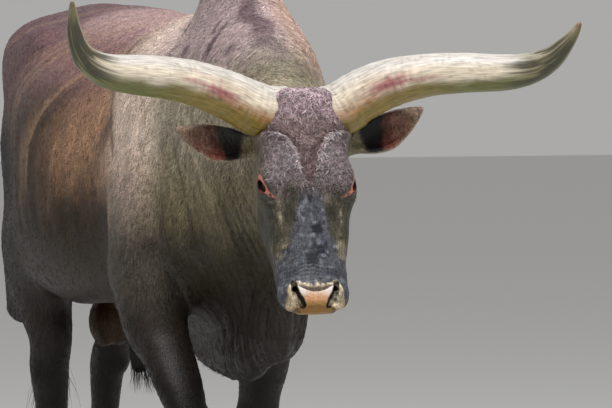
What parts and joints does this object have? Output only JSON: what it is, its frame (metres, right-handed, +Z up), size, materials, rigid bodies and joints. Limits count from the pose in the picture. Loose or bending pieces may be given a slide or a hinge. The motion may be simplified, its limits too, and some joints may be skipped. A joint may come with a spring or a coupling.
{
  "type": "ankole watusi bull",
  "caption": "Long-horned humped bull standing in a slow walking stance with lowered head, dewlap, and tail with a switch; a still life-size figure.",
  "frame": {"origin": "on the floor, under the middle of the whole animal's bounding box", "axes": "+Z up, the animal faces -Y, +X is its own left"},
  "size_m": [1.1322, 2.5971, 1.5293],
  "materials": {
    "torso": "short glossy hair",
    "hump": "short hair",
    "neck": "short hair over wrinkled skin",
    "dewlap": "short hair over folded skin",
    "head": "short hair, pink muzzle",
    "ear_left": "short hair",
    "ear_right": "short hair",
    "horn_left": "satin horn",
    "horn_right": "satin horn",
    "eye_left": "wet",
    "eye_right": "wet",
    "tail": "short hair",
    "tail_switch": "long coarse hair",
    "scrotum": "fine short hair",
    "sheath": "short hair",
    "sheath_tuft": "long hair",
    "foreleg_left": "short hair",
    "foreleg_right": "short hair",
    "hindleg_left": "short hair",
    "hindleg_right": "short hair",
    "claws": "dull horn"
  },
  "bodies": {
    "root": {"torso": "torso", "hump": "hump", "neck": "neck", "dewlap": "dewlap", "head": "head", "ear_left": "ear_left", "ear_right": "ear_right", "horn_left": "horn_left", "horn_right": "horn_right", "eye_left": "eye_left", "eye_right": "eye_right", "tail": "tail", "tail_switch": "tail_switch", "scrotum": "scrotum", "sheath": "sheath", "sheath_tuft": "sheath_tuft", "foreleg_left": "foreleg_left", "foreleg_left_claw_a": "claws", "foreleg_left_dewclaw_a": "claws", "foreleg_left_claw_b": "claws", "foreleg_left_dewclaw_b": "claws", "foreleg_right": "foreleg_right", "foreleg_right_claw_a": "claws", "foreleg_right_dewclaw_a": "claws", "foreleg_right_claw_b": "claws", "foreleg_right_dewclaw_b": "claws", "hindleg_left": "hindleg_left", "hindleg_left_claw_a": "claws", "hindleg_left_dewclaw_a": "claws", "hindleg_left_claw_b": "claws", "hindleg_left_dewclaw_b": "claws", "hindleg_right": "hindleg_right", "hindleg_right_claw_a": "claws", "hindleg_right_dewclaw_a": "claws", "hindleg_right_claw_b": "claws", "hindleg_right_dewclaw_b": "claws"}
  },
  "joints": []
}
